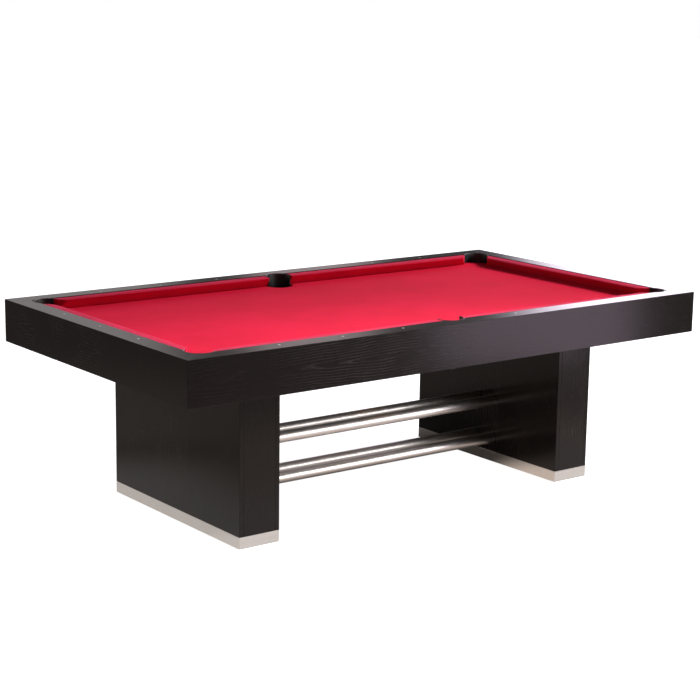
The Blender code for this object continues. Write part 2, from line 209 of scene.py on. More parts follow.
class Graph:
    """Short calls that build one material's or one world's node tree."""

    def __init__(self, owner):
        owner.use_nodes = True
        self.owner = owner
        self.tree = owner.node_tree
        self.shader = self.tree.nodes.get("Principled BSDF")

    def node(self, kind, **settings):
        node = self.tree.nodes.new(kind)
        for key, value in settings.items():
            setattr(node, key, value)
        return node

    def put(self, socket, value):
        if isinstance(value, bpy.types.NodeSocket):
            self.tree.links.new(value, socket)
        else:
            socket.default_value = value

    def set(self, **values):
        """Shader inputs by name, with underscores for spaces."""
        for name, value in values.items():
            self.put(self.shader.inputs[name.replace("_", " ")], value)

    def math(self, operation, *values, clamp=False):
        node = self.node("ShaderNodeMath", operation=operation, use_clamp=clamp)
        for socket, value in zip(node.inputs, values):
            self.put(socket, value)
        return node.outputs[0]

    def plus(self, first, second):
        return self.math("ADD", first, second)

    def minus(self, first, second):
        return self.math("SUBTRACT", first, second)

    def times(self, first, second, clamp=False):
        return self.math("MULTIPLY", first, second, clamp=clamp)

    def length(self, x, y):
        return self.math("SQRT", self.plus(self.times(x, x), self.times(y, y)))

    def beyond(self, value, middle, half):
        """How far a coordinate lies outside middle - half to middle + half."""
        away = self.math("ABSOLUTE", self.minus(value, middle))
        return self.math("MAXIMUM", self.minus(away, half), 0.0)

    def place(self):
        """X, Y and Z of the shaded point in the table's frame."""
        point = self.node("ShaderNodeTexCoord").outputs["Object"]
        split = self.node("ShaderNodeSeparateXYZ")
        self.put(split.inputs[0], point)
        return list(split.outputs)

    def vector(self, x, y, z):
        node = self.node("ShaderNodeCombineXYZ")
        for socket, value in zip(node.inputs, (x, y, z)):
            self.put(socket, value)
        return node.outputs[0]

    def stretched(self, coordinates, scales):
        """A vector of three coordinates, each multiplied by its own scale."""
        return self.vector(*(self.times(value, scale) for value, scale in zip(coordinates, scales)))

    def noise(self, vector, scale, detail=2.0, roughness=0.5):
        node = self.node("ShaderNodeTexNoise")
        self.put(node.inputs["Vector"], vector)
        self.put(node.inputs["Scale"], scale)
        self.put(node.inputs["Detail"], detail)
        self.put(node.inputs["Roughness"], roughness)
        return node.outputs[0]

    def cells(self, vector, scale):
        """The distance to the nearest of randomly placed points."""
        node = self.node("ShaderNodeTexVoronoi")
        self.put(node.inputs["Vector"], vector)
        self.put(node.inputs["Scale"], scale)
        return node.outputs["Distance"]

    def span(self, value, low, high, start=0.0, end=1.0):
        """value from low..high turned smoothly into start..end."""
        node = self.node("ShaderNodeMapRange", interpolation_type="SMOOTHSTEP")
        for key, number in (("Value", value), ("From Min", low), ("From Max", high),
                            ("To Min", start), ("To Max", end)):
            self.put(node.inputs[key], number)
        return node.outputs[0]

    def mix(self, factor, first, second):
        node = self.node("ShaderNodeMix", data_type="RGBA")
        self.put(node.inputs[0], factor)
        for socket, colour in ((node.inputs[6], first), (node.inputs[7], second)):
            self.put(socket, colour if isinstance(colour, bpy.types.NodeSocket) else (*colour, 1.0))
        return node.outputs[2]

    def bump(self, height, distance, strength=1.0):
        node = self.node("ShaderNodeBump")
        self.put(node.inputs["Strength"], strength)
        self.put(node.inputs["Distance"], distance)
        self.put(node.inputs["Height"], height)
        self.set(Normal=node.outputs[0])


# Plain-sawn, open-pore oak under black stain and satin lacquer. A leaf is one strip of veneer.
OAK_DARK = (0.0085, 0.0062, 0.0055)
OAK_LIGHT = (0.0220, 0.0170, 0.0165)
OAK_PORE = (0.055, 0.047, 0.048)
OAK_LEAF = 0.230
OAK_LEAF_SHIFT = 0.37
OAK_RINGS = 100.0
OAK_WANDER = 0.050
OAK_RIPPLE = 0.55
OAK_RIPPLE_SCALES = (9.0, 120.0, 1.0)
OAK_EARLY_START = (0.0, 0.08)
OAK_EARLY_END = (0.40, 0.12)
OAK_CLOUD = (0.35, 0.55)
OAK_FIGURE = (0.55, 0.12, 0.12, 1.0)
OAK_PORE_SCALES = (150.0, 2600.0, 2600.0)
OAK_PORE_EDGE = (0.42, 0.20)
OAK_SCATTER_SCALES = (14.0, 260.0, 1.0)
OAK_SCATTER = (0.52, 0.75, 0.05, 0.55)
OAK_FILL = 0.85
OAK_ROUGHNESS = 0.135
OAK_PORE_ROUGHNESS = 0.25
OAK_CLOUD_ROUGHNESS = 0.06
OAK_IOR = 1.34
OAK_PORE_DEPTH = 0.00014


def make_oak(name, along, across, middle, heart, lean=0.055):
    """Oak whose grain runs along one axis.

    along and across are 0, 1 or 2 for X, Y or Z. middle is the leaf's centre line
    across the grain, and heart is where the cathedral figure starts along it.
    """
    graph = Graph(bpy.data.materials.new(name))
    place = graph.place()
    depth = place[3 - along - across]
    side = graph.minus(place[across], middle)
    leaf = graph.math("FLOOR", graph.plus(graph.math("DIVIDE", side, OAK_LEAF), 0.5))
    side = graph.minus(side, graph.times(leaf, OAK_LEAF))
    length = graph.minus(place[along], graph.plus(heart, graph.times(leaf, OAK_LEAF_SHIFT)))
    cloud = graph.noise(graph.vector(length, side, depth), 5.0, 3.0)
    early = oak_early_wood(graph, length, side, leaf, lean, cloud)
    pore = oak_pores(graph, length, side, depth, leaf, early)
    colour = graph.mix(early, OAK_DARK, OAK_LIGHT)
    colour = graph.mix(graph.times(pore, OAK_FILL), colour, OAK_PORE)
    rough = graph.plus(OAK_ROUGHNESS, graph.times(pore, OAK_PORE_ROUGHNESS))
    rough = graph.plus(rough, graph.times(cloud, OAK_CLOUD_ROUGHNESS))
    graph.set(Base_Color=colour, Roughness=rough, IOR=OAK_IOR)
    relief = graph.minus(graph.times(early, -0.20), pore)
    graph.bump(relief, OAK_PORE_DEPTH, 0.50)
    return graph.owner


def oak_early_wood(graph, length, side, leaf, lean, cloud):
    """The porous part of each year's ring, strongest round the heart of the figure."""
    wander = graph.noise(graph.vector(length, side, leaf), 2.6, 3.0)
    wander = graph.times(graph.minus(wander, 0.5), OAK_WANDER)
    rise = graph.plus(graph.times(length, lean), graph.times(wander, 0.6))
    ring = graph.length(graph.plus(side, wander), rise)
    ripple = graph.noise(graph.stretched((length, side, leaf), OAK_RIPPLE_SCALES), 1.0, 3.0)
    phase = graph.plus(graph.times(ring, OAK_RINGS), graph.times(ripple, OAK_RIPPLE))
    step = graph.math("FRACT", phase)
    early = graph.times(graph.span(step, *OAK_EARLY_START), graph.span(step, *OAK_EARLY_END))
    figure = graph.span(graph.math("ABSOLUTE", length), *OAK_FIGURE)
    return graph.times(early, graph.times(figure, graph.span(cloud, *OAK_CLOUD)))


def oak_pores(graph, length, side, depth, leaf, early):
    """Long open pores, most of them in the early wood."""
    grain = graph.stretched((length, side, depth), OAK_PORE_SCALES)
    pore = graph.span(graph.cells(grain, 1.0), *OAK_PORE_EDGE)
    scatter = graph.noise(graph.stretched((length, side, leaf), OAK_SCATTER_SCALES), 1.0, 2.0)
    share = graph.plus(graph.times(early, 0.85), graph.span(scatter, *OAK_SCATTER))
    return graph.times(pore, share, clamp=True)


# Billiard cloth: (colour, darker colour, sheen) of the bed and the cushions. The darker colour is
# painted shade in the nap's hollows, mixed with random broad mottling.
BED_CLOTH = ((0.82, 0.0055, 0.048), (0.68, 0.0035, 0.032), 0.03)
# The cushions' cloth is the bed's cloth made about a fifth darker, as painted shade on the cushions.
SHADED_CUSHION_CLOTH = ((0.66, 0.0040, 0.038), (0.52, 0.0025, 0.027), 0.22)
CLOTH_ROUGHNESS = 0.92
CLOTH_IOR = 1.18
CLOTH_SHEEN_ROUGHNESS = 0.38
CLOTH_SHEEN_TINT = (1.0, 0.26, 0.52, 1.0)
CLOTH_TWILL = 5200.0
CLOTH_RELIEF = 0.00030


def make_cloth(name, colour, hollow_shade_and_mottle, sheen):
    """Napped worsted billiard cloth: a fine twill under short fibres."""
    graph = Graph(bpy.data.materials.new(name))
    x, y, z = place = graph.place()
    point = graph.vector(x, y, z)
    diagonal = graph.plus(x, graph.plus(y, z))
    counter = graph.minus(x, graph.minus(y, z))
    twill = graph.math("SINE", graph.times(diagonal, CLOTH_TWILL))
    weft = graph.math("SINE", graph.times(counter, CLOTH_TWILL))
    weave = graph.plus(graph.times(twill, 0.5), graph.times(weft, 0.25))
    fibre = graph.noise(graph.stretched(place, (0.35, 1.0, 1.0)), 1500.0, 3.0, 0.7)
    fuzz = graph.noise(point, 420.0, 4.0, 0.75)
    cloud = graph.noise(point, 3.2, 3.0, 0.6)
    # Where the fine fuzz is low, as the bump is, the cloth takes the darker colour as painted shade in
    # the nap's hollows; the broad cloud adds random tone.
    tone = graph.plus(graph.span(fuzz, 0.30, 0.72, 0.0, 0.55), graph.span(cloud, 0.35, 0.66, 0.0, 0.45))
    graph.set(Base_Color=graph.mix(tone, hollow_shade_and_mottle, colour), Roughness=CLOTH_ROUGHNESS, IOR=CLOTH_IOR,
              Sheen_Weight=sheen, Sheen_Roughness=CLOTH_SHEEN_ROUGHNESS, Sheen_Tint=CLOTH_SHEEN_TINT)
    height = graph.plus(graph.times(weave, 0.35), graph.plus(fibre, fuzz))
    graph.bump(height, CLOTH_RELIEF, 0.50)
    return graph.owner


# Brushed metal. The stretch makes the scratches long along the brushing.
PLINTH_METAL = (0.80, 0.77, 0.74)
PLINTH_STRETCH = 0.012
TUBE_METAL = (0.80, 0.77, 0.75)
TUBE_STRETCH = 0.006
BRUSHED_SHADE = 0.78
BRUSHED_ROUGHNESS = 0.30
BRUSHED_ANISOTROPY = 0.70


def make_brushed(name, colour, along, stretch, round_axis=None):
    """Metal brushed along one axis, with faint handling marks.

    round_axis names the axis of a tube, whose highlights spread round it.
    """
    graph = Graph(bpy.data.materials.new(name))
    place = graph.place()
    brushing = graph.stretched(place, [stretch if axis == along else 1.0 for axis in range(3)])
    lines = graph.noise(brushing, 1900.0, 4.0, 0.65)
    broad = graph.noise(brushing, 210.0, 3.0, 0.6)
    marks = graph.noise(graph.vector(*place), 7.0, 4.0, 0.6)
    streak = graph.plus(graph.times(lines, 0.6), graph.times(broad, 0.4))
    darker = tuple(channel * BRUSHED_SHADE for channel in colour)
    graph.set(Base_Color=graph.mix(graph.span(streak, 0.30, 0.70), darker, colour),
              Metallic=1.0, Anisotropic=BRUSHED_ANISOTROPY)
    if round_axis:
        tangent = graph.node("ShaderNodeTangent", direction_type="RADIAL", axis=round_axis)
        graph.set(Tangent=tangent.outputs[0])
    rough = graph.plus(BRUSHED_ROUGHNESS, graph.times(graph.minus(streak, 0.5), 0.22))
    graph.set(Roughness=graph.plus(rough, graph.span(marks, 0.50, 0.72, 0.0, 0.07)))
    graph.bump(streak, 0.00006, 0.5)
    return graph.owner


def make_timber(name, along):
    """Planed softwood for the hidden frame and boards."""
    graph = Graph(bpy.data.materials.new(name))
    place = graph.place()
    ordered = [place[along]] + [place[axis] for axis in range(3) if axis != along]
    growth = graph.noise(graph.stretched(ordered, (0.8, 16.0, 16.0)), 0.9, 2.0)
    rings = graph.math("FRACT", graph.times(growth, 11.0))
    late = graph.times(graph.span(rings, 0.25, 0.85), graph.span(rings, 1.0, 0.90))
    fibre = graph.noise(graph.stretched(ordered, (12.0, 700.0, 700.0)), 1.0, 3.0, 0.6)
    wood = graph.mix(late, (0.50, 0.34, 0.19), (0.31, 0.17, 0.075))
    wood = graph.mix(graph.span(fibre, 0.35, 0.75, 0.0, 0.35), wood, (0.22, 0.13, 0.07))
    graph.set(Base_Color=wood, Roughness=graph.span(fibre, 0.2, 0.8, 0.55, 0.78))
    graph.bump(graph.plus(fibre, graph.times(late, 0.5)), 0.0003, 0.5)
    return graph.owner


def make_slate(name):
    """Honed slate with faint layers and fine specks."""
    graph = Graph(bpy.data.materials.new(name))
    place = graph.place()
    layers = graph.noise(graph.stretched(place, (1.0, 1.0, 60.0)), 18.0, 5.0, 0.6)
    speck = graph.noise(graph.vector(*place), 900.0, 3.0, 0.7)
    tone = graph.span(graph.plus(graph.times(layers, 0.7), graph.times(speck, 0.3)), 0.35, 0.65)
    graph.set(Base_Color=graph.mix(tone, (0.055, 0.060, 0.066), (0.13, 0.14, 0.15)),
              Roughness=graph.span(speck, 0.3, 0.7, 0.48, 0.68))
    graph.bump(graph.plus(layers, speck), 0.0005, 0.5)
    return graph.owner


def make_moulded(name, colour, grain, roughness):
    """Black moulded plastic or rubber with a fine leather-like grain."""
    graph = Graph(bpy.data.materials.new(name))
    point = graph.vector(*graph.place())
    pebble = graph.span(graph.cells(point, grain), 0.05, 0.55)
    smudge = graph.noise(point, 24.0, 4.0, 0.65)
    lighter = tuple(channel * 2.1 + 0.002 for channel in colour)
    graph.set(Base_Color=graph.mix(graph.times(pebble, smudge), colour, lighter),
              Roughness=graph.plus(roughness, graph.span(smudge, 0.3, 0.7, -0.06, 0.10)))
    graph.bump(pebble, 0.00025, 0.5)
    return graph.owner


def make_sight_white(name):
    """Mother-of-pearl: soft cloudy bands in a pale shell."""
    graph = Graph(bpy.data.materials.new(name))
    cloud = graph.noise(graph.vector(*graph.place()), 380.0, 3.0, 0.6)
    bands = graph.span(graph.math("SINE", graph.times(cloud, 26.0)), -1.0, 1.0)
    graph.set(Base_Color=graph.mix(bands, (0.48, 0.46, 0.42), (0.62, 0.61, 0.58)),
              Roughness=graph.span(cloud, 0.3, 0.7, 0.18, 0.30), Coat_Weight=0.5, Coat_Roughness=0.08)
    graph.bump(cloud, 0.00010, 0.3)
    return graph.owner


def make_fastener_steel(name):
    """Zinc-plated steel with a mottled passivated skin."""
    graph = Graph(bpy.data.materials.new(name))
    point = graph.vector(*graph.place())
    mottle = graph.noise(point, 160.0, 4.0, 0.65)
    fine = graph.noise(point, 1600.0, 2.0)
    colour = graph.mix(graph.span(mottle, 0.3, 0.7), (0.46, 0.45, 0.42), (0.66, 0.66, 0.64))
    graph.set(Base_Color=colour, Metallic=1.0, Roughness=graph.span(mottle, 0.3, 0.7, 0.28, 0.46))
    graph.bump(fine, 0.00005, 0.4)
    return graph.owner


def make_materials():
    """Every material by a short name. An oak's last numbers place its figure."""
    x, y, z = range(3)
    apron_middle = box_of("apron_left")[2].z
    wood_middle = HALF_Y - WOOD_WIDTH / 2
    short_middle = HALF_X - WOOD_WIDTH / 2
    return {
        "apron_front": make_oak("oak_apron_front", x, z, apron_middle, -0.42),
        "apron_back": make_oak("oak_apron_back", x, z, apron_middle, 0.35),
        "apron_left": make_oak("oak_apron_left", y, z, apron_middle, 0.25),
        "apron_right": make_oak("oak_apron_right", y, z, apron_middle, -0.15),
        "rail_front": make_oak("oak_rail_front", x, y, -wood_middle, 0.80, 0.030),
        "rail_back": make_oak("oak_rail_back", x, y, wood_middle, -0.70, 0.030),
        "rail_left": make_oak("oak_rail_left", y, x, -short_middle, 0.40, 0.030),
        "rail_right": make_oak("oak_rail_right", y, x, short_middle, -0.30, 0.030),
        "panel_side": make_oak("oak_panel_side", z, y, 0.02, 0.20),
        "panel_end": make_oak("oak_panel_end", z, x, 0.80, 0.35),
        "bed_cloth": make_cloth("bed_cloth_red", *BED_CLOTH),
        "cushion_cloth": make_cloth("cushion_cloth_red", *SHADED_CUSHION_CLOTH),
        "pocket_black": make_moulded("pocket_liner_black", (0.0045, 0.0045, 0.0050), 900.0, 0.42),
        "foot_black": make_moulded("foot_rubber_black", (0.012, 0.012, 0.012), 500.0, 0.60),
        "plinth_aluminium": make_brushed("plinth_brushed_x", PLINTH_METAL, x, PLINTH_STRETCH),
        "tube_steel": make_brushed("tube_brushed", TUBE_METAL, x, TUBE_STRETCH, "X"),
        "timber_x": make_timber("timber_x", x),
        "timber_y": make_timber("timber_y", y),
        "slate": make_slate("slate_honed"),
        "sight": make_sight_white("sight_shell"),
        "stud_steel": make_fastener_steel("zinc_steel"),
    }


# ---------------------------------------------------------------- mesh helpers


def finish_mesh(bm, name, material, smooth=True):
    """A bmesh made into an object at the origin, with its faces turned outwards."""
    bmesh.ops.recalc_face_normals(bm, faces=bm.faces)
    mesh = bpy.data.meshes.new(name)
    bm.to_mesh(mesh)
    bm.free()
    obj = bpy.data.objects.new(name, mesh)
    bpy.context.scene.collection.objects.link(obj)
    mesh.materials.append(material)
    if smooth:
        mesh.shade_smooth()
    return obj


def apply_modifiers(obj):
    """The object's mesh with its modifiers worked in."""
    bpy.context.view_layer.update()
    graph = bpy.context.evaluated_depsgraph_get()
    mesh = bpy.data.meshes.new_from_object(obj.evaluated_get(graph))
    obj.modifiers.clear()
    obj.data = mesh
    return obj


def round_edges(obj, width, segments=2, angle=30.0):
    """Rounds an object's sharp edges and keeps its flat faces looking flat."""
    weld = obj.modifiers.new("weld", "WELD")
    weld.merge_threshold = 0.00002
    bevel = obj.modifiers.new("rounded edges", "BEVEL")
    bevel.width = width
    bevel.segments = segments
    bevel.limit_method = "ANGLE"
    bevel.angle_limit = math.radians(angle)
    bevel.use_clamp_overlap = True
    normals = obj.modifiers.new("flat faces", "WEIGHTED_NORMAL")
    normals.keep_sharp = False
    normals.weight = 100
    return obj


def rounded(outline, radii, steps=4):
    """A closed flat outline with each corner rounded to its own radius."""
    points = []
    count = len(outline)
    for index, radius in enumerate(radii):
        corner = Vector(outline[index])
        back = (Vector(outline[index - 1]) - corner).normalized()
        ahead = (Vector(outline[(index + 1) % count]) - corner).normalized()
        if not radius:
            points.append(corner)
            continue
        half = back.angle(ahead) / 2
        centre = corner + (back + ahead).normalized() * radius / math.sin(half)
        start = corner + back * radius / math.tan(half) - centre
        end = corner + ahead * radius / math.tan(half) - centre
        for step in range(steps + 1):
            spoke = start.lerp(end, step / steps).normalized() * radius
            points.append(centre + spoke)
    return points


def turned_mesh(profile, centre, steps, angle=0.0):
    """A bmesh turned from (radius, height) points about the upright axis through centre."""
    bm = bmesh.new()
    rings = []
    for radius, height in profile:
        if radius < 1e-6:
            rings.append([bm.verts.new((centre[0], centre[1], height))])
            continue
        ring = []
        for step in range(steps):
            turn = angle + math.tau * step / steps
            ring.append(bm.verts.new((centre[0] + radius * math.cos(turn),
                                      centre[1] + radius * math.sin(turn), height)))
        rings.append(ring)
    for lower, upper in zip(rings, rings[1:]):
        join_rings(bm, lower, upper)
    return bm


def join_rings(bm, lower, upper):
    count = max(len(lower), len(upper))
    for step in range(count):
        after = (step + 1) % count
        corners = [lower[step % len(lower)], lower[after % len(lower)],
                   upper[after % len(upper)], upper[step % len(upper)]]
        bm.faces.new(list(dict.fromkeys(corners)))


def place_piece(obj, body, replaces=()):
    if replaces:
        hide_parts(*replaces)
    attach(obj, body)
    return obj


# ---------------------------------------------------------------- cushions


def cushion_section():
    """The rubber's section under its cloth, as (outward from the nose, height)."""
    low, high, _ = box_of("cushion_left")
    nose = high.z - CUSHION_TOP_RISE - BED_HEIGHT
    depth = high.x - low.x
    outline = [
        (0.0, nose - 0.0025),
        (0.0, nose + 0.0022),
        (0.012, nose + 0.0041),
        (0.030, nose + 0.0052),
        (depth, nose + CUSHION_TOP_RISE),
        (depth, 0.0003),
        (0.0200, 0.0003),
        (0.0165, 0.0103),
    ]
    radii = (0.0022, 0.0022, 0.030, 0.060, 0.0028, 0, 0.0015, 0.006)
    return rounded(outline, radii, 5)


def make_cushion(name, side, nose_line, ends, pockets, materials):
    """A cloth-covered rubber bar whose slanted ends are a pocket's jaws."""
    bm = bmesh.new()
    rows = []
    for place, slope in ends:
        row = []
        for outward, height in cushion_section():
            across = SIDES[side](place + slope * outward, nose_line + outward)
            row.append(bm.verts.new((*across, BED_HEIGHT + height)))
        rows.append(row)
    join_rings(bm, rows[0], rows[1])
    for row in rows:
        bm.faces.new(row)
    obj = finish_mesh(bm, f"{name}_covered", materials["cushion_cloth"])
    bevel = obj.modifiers.new("jaw edges", "BEVEL")
    bevel.width = 0.0030
    bevel.segments = 4
    bevel.limit_method = "ANGLE"
    bevel.angle_limit = math.radians(50)
    tools = [cut_by_pocket(obj, pocket) for pocket in pockets]
    apply_modifiers(obj)
    for tool in tools:
        bpy.data.objects.remove(tool, do_unlink=True)
    obj.data.shade_smooth()
    obj.data.set_sharp_from_angle(angle=math.radians(40))
    place_piece(obj, "table", [name])
    return obj


def cut_by_pocket(obj, pocket):
    """Takes the room of a pocket liner out of a cushion."""
    radius = liner_radius(pocket) + POCKET_CLEARANCE
    low, high = BED_HEIGHT - 0.01, RAIL_TOP + 0.01
    profile = [(0, low), (radius, low), (radius, high), (0, high)]
    bm = turned_mesh(profile, pocket_centre(pocket), LINER_STEPS)
    tool = finish_mesh(bm, f"cutter_{pocket}", obj.data.materials[0], smooth=False)
    cut = obj.modifiers.new("liner room", "BOOLEAN")
    cut.object = tool
    cut.solver = "EXACT"
    return tool


def make_cushions(materials):
    """Two cushions on each long side and one on each short side."""
    for side in ("front", "back"):
        for name, sign in (("left", -1), ("right", 1)):
            node = f"cushion_{side}_{name}"
            corner = HALF_PLAY_X - CORNER_MOUTH_SETBACK
            ends = [(sign * corner, sign * CORNER_FACING_SLOPE),
                    (sign * SIDE_MOUTH_HALF, sign * SIDE_FACING_SLOPE)]
            pockets = (f"{side}_{name}", f"{side}_middle")
            make_cushion(node, side, HALF_PLAY_Y, ends, pockets, materials)
    for side in ("left", "right"):
        node = f"cushion_{side}"
        place = HALF_PLAY_Y - CORNER_MOUTH_SETBACK
        ends = [(-place, -CORNER_FACING_SLOPE), (place, CORNER_FACING_SLOPE)]
        pockets = (f"front_{side}", f"back_{side}")
        make_cushion(node, side, HALF_PLAY_X, ends, pockets, materials)


# ---------------------------------------------------------------- bed cloth


def bed_cut():
    """The bed cloth's outline as runs of points, and one arc of points at each pocket."""
    low, high, _ = box_of("bed_cloth")
    radius = CLOTH_WALL_RADIUS + CLOTH_LIP_RADIUS
    outline, arcs = [], []
    turns = [math.pi * step / CLOTH_ARC_STEPS for step in range(CLOTH_ARC_STEPS + 1)]
    order = ("front_left", "front_middle", "front_right", "back_right", "back_middle", "back_left")
    for pocket in order:
        centre, outward = pocket_centre(pocket), pocket_outward(pocket)
        entry = Vector((outward.y, -outward.x))
        arc = [(centre, entry * math.cos(turn) - outward * math.sin(turn)) for turn in turns]
        outline.append(edge_point(centre + entry * radius, outward, low, high))
        first = len(outline)
        outline += [centre + spoke * radius for centre, spoke in arc]
        arcs.append((first, arc))
        outline.append(edge_point(centre - entry * radius, outward, low, high))
    return outline, arcs


def edge_point(start, direction, low, high):
    """Where a line from start leaves the sheet's rectangle."""
    reaches = []
    for axis in range(2):
        if abs(direction[axis]) > 1e-6:
            bound = high[axis] if direction[axis] > 0 else low[axis]
            reaches.append((bound - start[axis]) / direction[axis])
    return start + direction * min(reaches)


def lip_rows():
    """(radius, height) of the cloth's surface as it turns down into a pocket."""
    rows = []
    for step in range(1, 6):
        turn = math.pi / 2 * step / 5
        rows.append((CLOTH_WALL_RADIUS + CLOTH_LIP_RADIUS * (1 - math.sin(turn)),
                     BED_HEIGHT - CLOTH_LIP_RADIUS * (1 - math.cos(turn))))
    rows.append((CLOTH_WALL_RADIUS, BED_HEIGHT - CLOTH_LIP_DROP))
    return rows


def make_bed_cloth(materials):
    outline, arcs = bed_cut()
    bm = bmesh.new()
    top = [bm.verts.new((point.x, point.y, BED_HEIGHT)) for point in outline]
    face = bm.faces.new(top)
    for first, arc in arcs:
        above = top[first:first + len(arc)]
        for radius, height in lip_rows():
            below = [bm.verts.new((*(centre + spoke * radius), height)) for centre, spoke in arc]
            for step in range(len(arc) - 1):
                bm.faces.new((above[step], above[step + 1], below[step + 1], below[step]))
            above = below
    bmesh.ops.triangulate(bm, faces=[face], ngon_method="BEAUTY")
    cut_area = sum(face.calc_area() for face in bm.faces)
    obj = finish_mesh(bm, "bed_cloth_stretched", materials["bed_cloth"])
    if obj.data.polygons[0].normal.z < 0:
        obj.data.flip_normals()
    solid = obj.modifiers.new("thickness", "SOLIDIFY")
    solid.thickness = CLOTH_THICKNESS
    solid.offset = -1
    obj.modifiers.new("flat faces", "WEIGHTED_NORMAL")
    place_piece(obj, "table", ["bed_cloth"])


# ---------------------------------------------------------------- pocket liners


def liner_radius(pocket):
    low, high, _ = box_of(f"pocket_{pocket}")
    return (high.x - low.x) / 2


def make_liner(pocket, materials):
    """A ribbed bucket whose back rises as a collar behind the pocket."""
    low, high, _ = box_of(f"pocket_{pocket}")
    outer, wall = liner_radius(pocket), LINER_WALL
    bottom, top = low.z, high.z
    outside = [(0, bottom)] + [(outer - inset, bottom + height) for inset, height in LINER_OUTSIDE]
    inside = [(max(radius - wall, 0), height + wall) for radius, height in reversed(outside)]
    turns = [math.pi * step / 6 for step in range(7)]
    rim = [(outer - wall / 2 + wall / 2 * math.cos(turn), top - wall / 2 + wall / 2 * math.sin(turn))
           for turn in turns]
    bm = turned_mesh(outside + rim + inside, pocket_centre(pocket), LINER_STEPS)
    groove_liner(bm, pocket, outer, bottom)
    obj = finish_mesh(bm, f"pocket_{pocket}_liner", materials["pocket_black"])
    tool = liner_front(pocket, obj)
    apply_modifiers(obj)
    bpy.data.objects.remove(tool, do_unlink=True)
    obj.data.set_sharp_from_angle(angle=math.radians(38))
    place_piece(obj, "table", [f"pocket_{pocket}"])


def groove_liner(bm, pocket, outer, bottom):
    """Presses shallow upright grooves into the outside of the bucket."""
    centre = pocket_centre(pocket)
    for vertex in bm.verts:
        spoke = vertex.co.to_2d() - centre
        if spoke.length < outer - 0.0005 or vertex.co.z > bottom + GROOVE_TOP:
            continue
        step = round(math.atan2(spoke.y, spoke.x) / math.tau * LINER_STEPS)
        if step % GROOVE_PITCH < GROOVE_WIDTH:
            spoke *= 1 - GROOVE_DEPTH / outer
            vertex.co.x, vertex.co.y = centre + spoke


def liner_front(pocket, obj):
    """Cuts the collar away over the bed, so that only the back of the rim stands up."""
    centre, outward = pocket_centre(pocket), pocket_outward(pocket)
    angle = math.atan2(outward.y, outward.x)
    reach = LINER_FRONT_REACH
    slate_top = box_of("slate_left")[1].z
    middle = centre - outward * (reach / 2 + LINER_FRONT_SETBACK)
    height = slate_top - LINER_FRONT_DROP + reach / 2
    turn = Matrix.Translation((*middle, height)) @ Matrix.Rotation(angle, 4, "Z")
    bm = bmesh.new()
    bmesh.ops.create_cube(bm, size=reach, matrix=turn @ Matrix.Diagonal((1, 2, 1, 1)))
    tool = finish_mesh(bm, f"front_{pocket}", obj.data.materials[0], smooth=False)
    cut = obj.modifiers.new("open front", "BOOLEAN")
    cut.object = tool
    cut.solver = "EXACT"
    bevel = obj.modifiers.new("lip", "BEVEL")
    bevel.width = LINER_LIP_ROUNDING
    bevel.segments = 2
    bevel.limit_method = "ANGLE"
    bevel.angle_limit = math.radians(60)
    return tool


# ---------------------------------------------------------------- small pieces on the table


def sight_places():
    """(name, x, y) of each sight, an eighth of the playing field's length apart."""
    places = []
    for side, y in (("front", SIGHT_INSET - HALF_Y), ("back", HALF_Y - SIGHT_INSET)):
        for number in (-3, -2, -1, 1, 2, 3):
            places.append((f"{side}_{number}", number * SIGHT_SPACING, y))
    for side, x in (("left", SIGHT_INSET - HALF_X), ("right", HALF_X - SIGHT_INSET)):
        for number in (-1, 0, 1):
            places.append((f"{side}_{number}", x, number * SIGHT_SPACING))
    return places


def make_sights(materials):
    profile = [(radius, RAIL_TOP + height) for radius, height in SIGHT_PROFILE]
    for name, x, y in sight_places():
        bm = turned_mesh(profile, (x, y), 32)
        obj = finish_mesh(bm, "sight_" + name.replace("-", "m"), materials["sight"])
        obj.data.set_sharp_from_angle(angle=math.radians(40))
        place_piece(obj, "table")


def make_tubes(materials):
    """Polished tubes with eased ends, closer to round than the CAD ones."""
    for level in ("lower", "upper"):
        for name in ("front", "back"):
            node = f"stretcher_{level}_{name}"
            low, high, middle = box_of(node)
            radius, half = (high.z - low.z) / 2, (high.x - low.x) / 2
            wall, ease = TUBE_WALL, TUBE_END_EASE
            profile = [(radius - wall, -half), (radius - ease, -half), (radius, ease - half),
                       (radius, half - ease), (radius - ease, half), (radius - wall, half)]
            profile.append(profile[0])
            bm = turned_mesh(profile, (0, 0), TUBE_STEPS)
            bmesh.ops.remove_doubles(bm, verts=bm.verts, dist=0.000001)
            lay = Matrix.Translation(middle) @ Matrix.Rotation(math.pi / 2, 4, "Y")
            bmesh.ops.transform(bm, verts=bm.verts, matrix=lay)
            obj = finish_mesh(bm, f"{node}_tube", materials["tube_steel"])
            obj.data.set_sharp_from_angle(angle=math.radians(35))
            place_piece(obj, "table", [node])


# ---------------------------------------------------------------- levelling feet


def make_pad(foot, materials):
    """A moulded pad: a dished foot, a sloping shoulder and a socket for the stud."""
    low, high, middle = box_of(f"foot_pad_{foot}")
    radius = (high.x - low.x) / 2
    bottom, top = low.z, high.z
    profile = [(0, bottom + 0.0008), (radius - 0.006, bottom + 0.0008), (radius - 0.005, bottom),
               (radius - 0.001, bottom), (radius, bottom + 0.001), (radius, bottom + 0.0040),
               (radius - 0.0008, bottom + 0.0048), (0.0125, top - 0.0036), (0.0114, top - 0.0006),
               (0.0108, top), (STUD_SOCKET, top), (STUD_SOCKET, bottom + 0.0052),
               (0, bottom + 0.0052)]
    obj = finish_mesh(turned_mesh(profile, middle.to_2d(), 64), f"foot_pad_{foot}_moulded",
                      materials["foot_black"])
    obj.data.set_sharp_from_angle(angle=math.radians(30))
    place_piece(obj, f"pad_{foot}", [f"foot_pad_{foot}"])


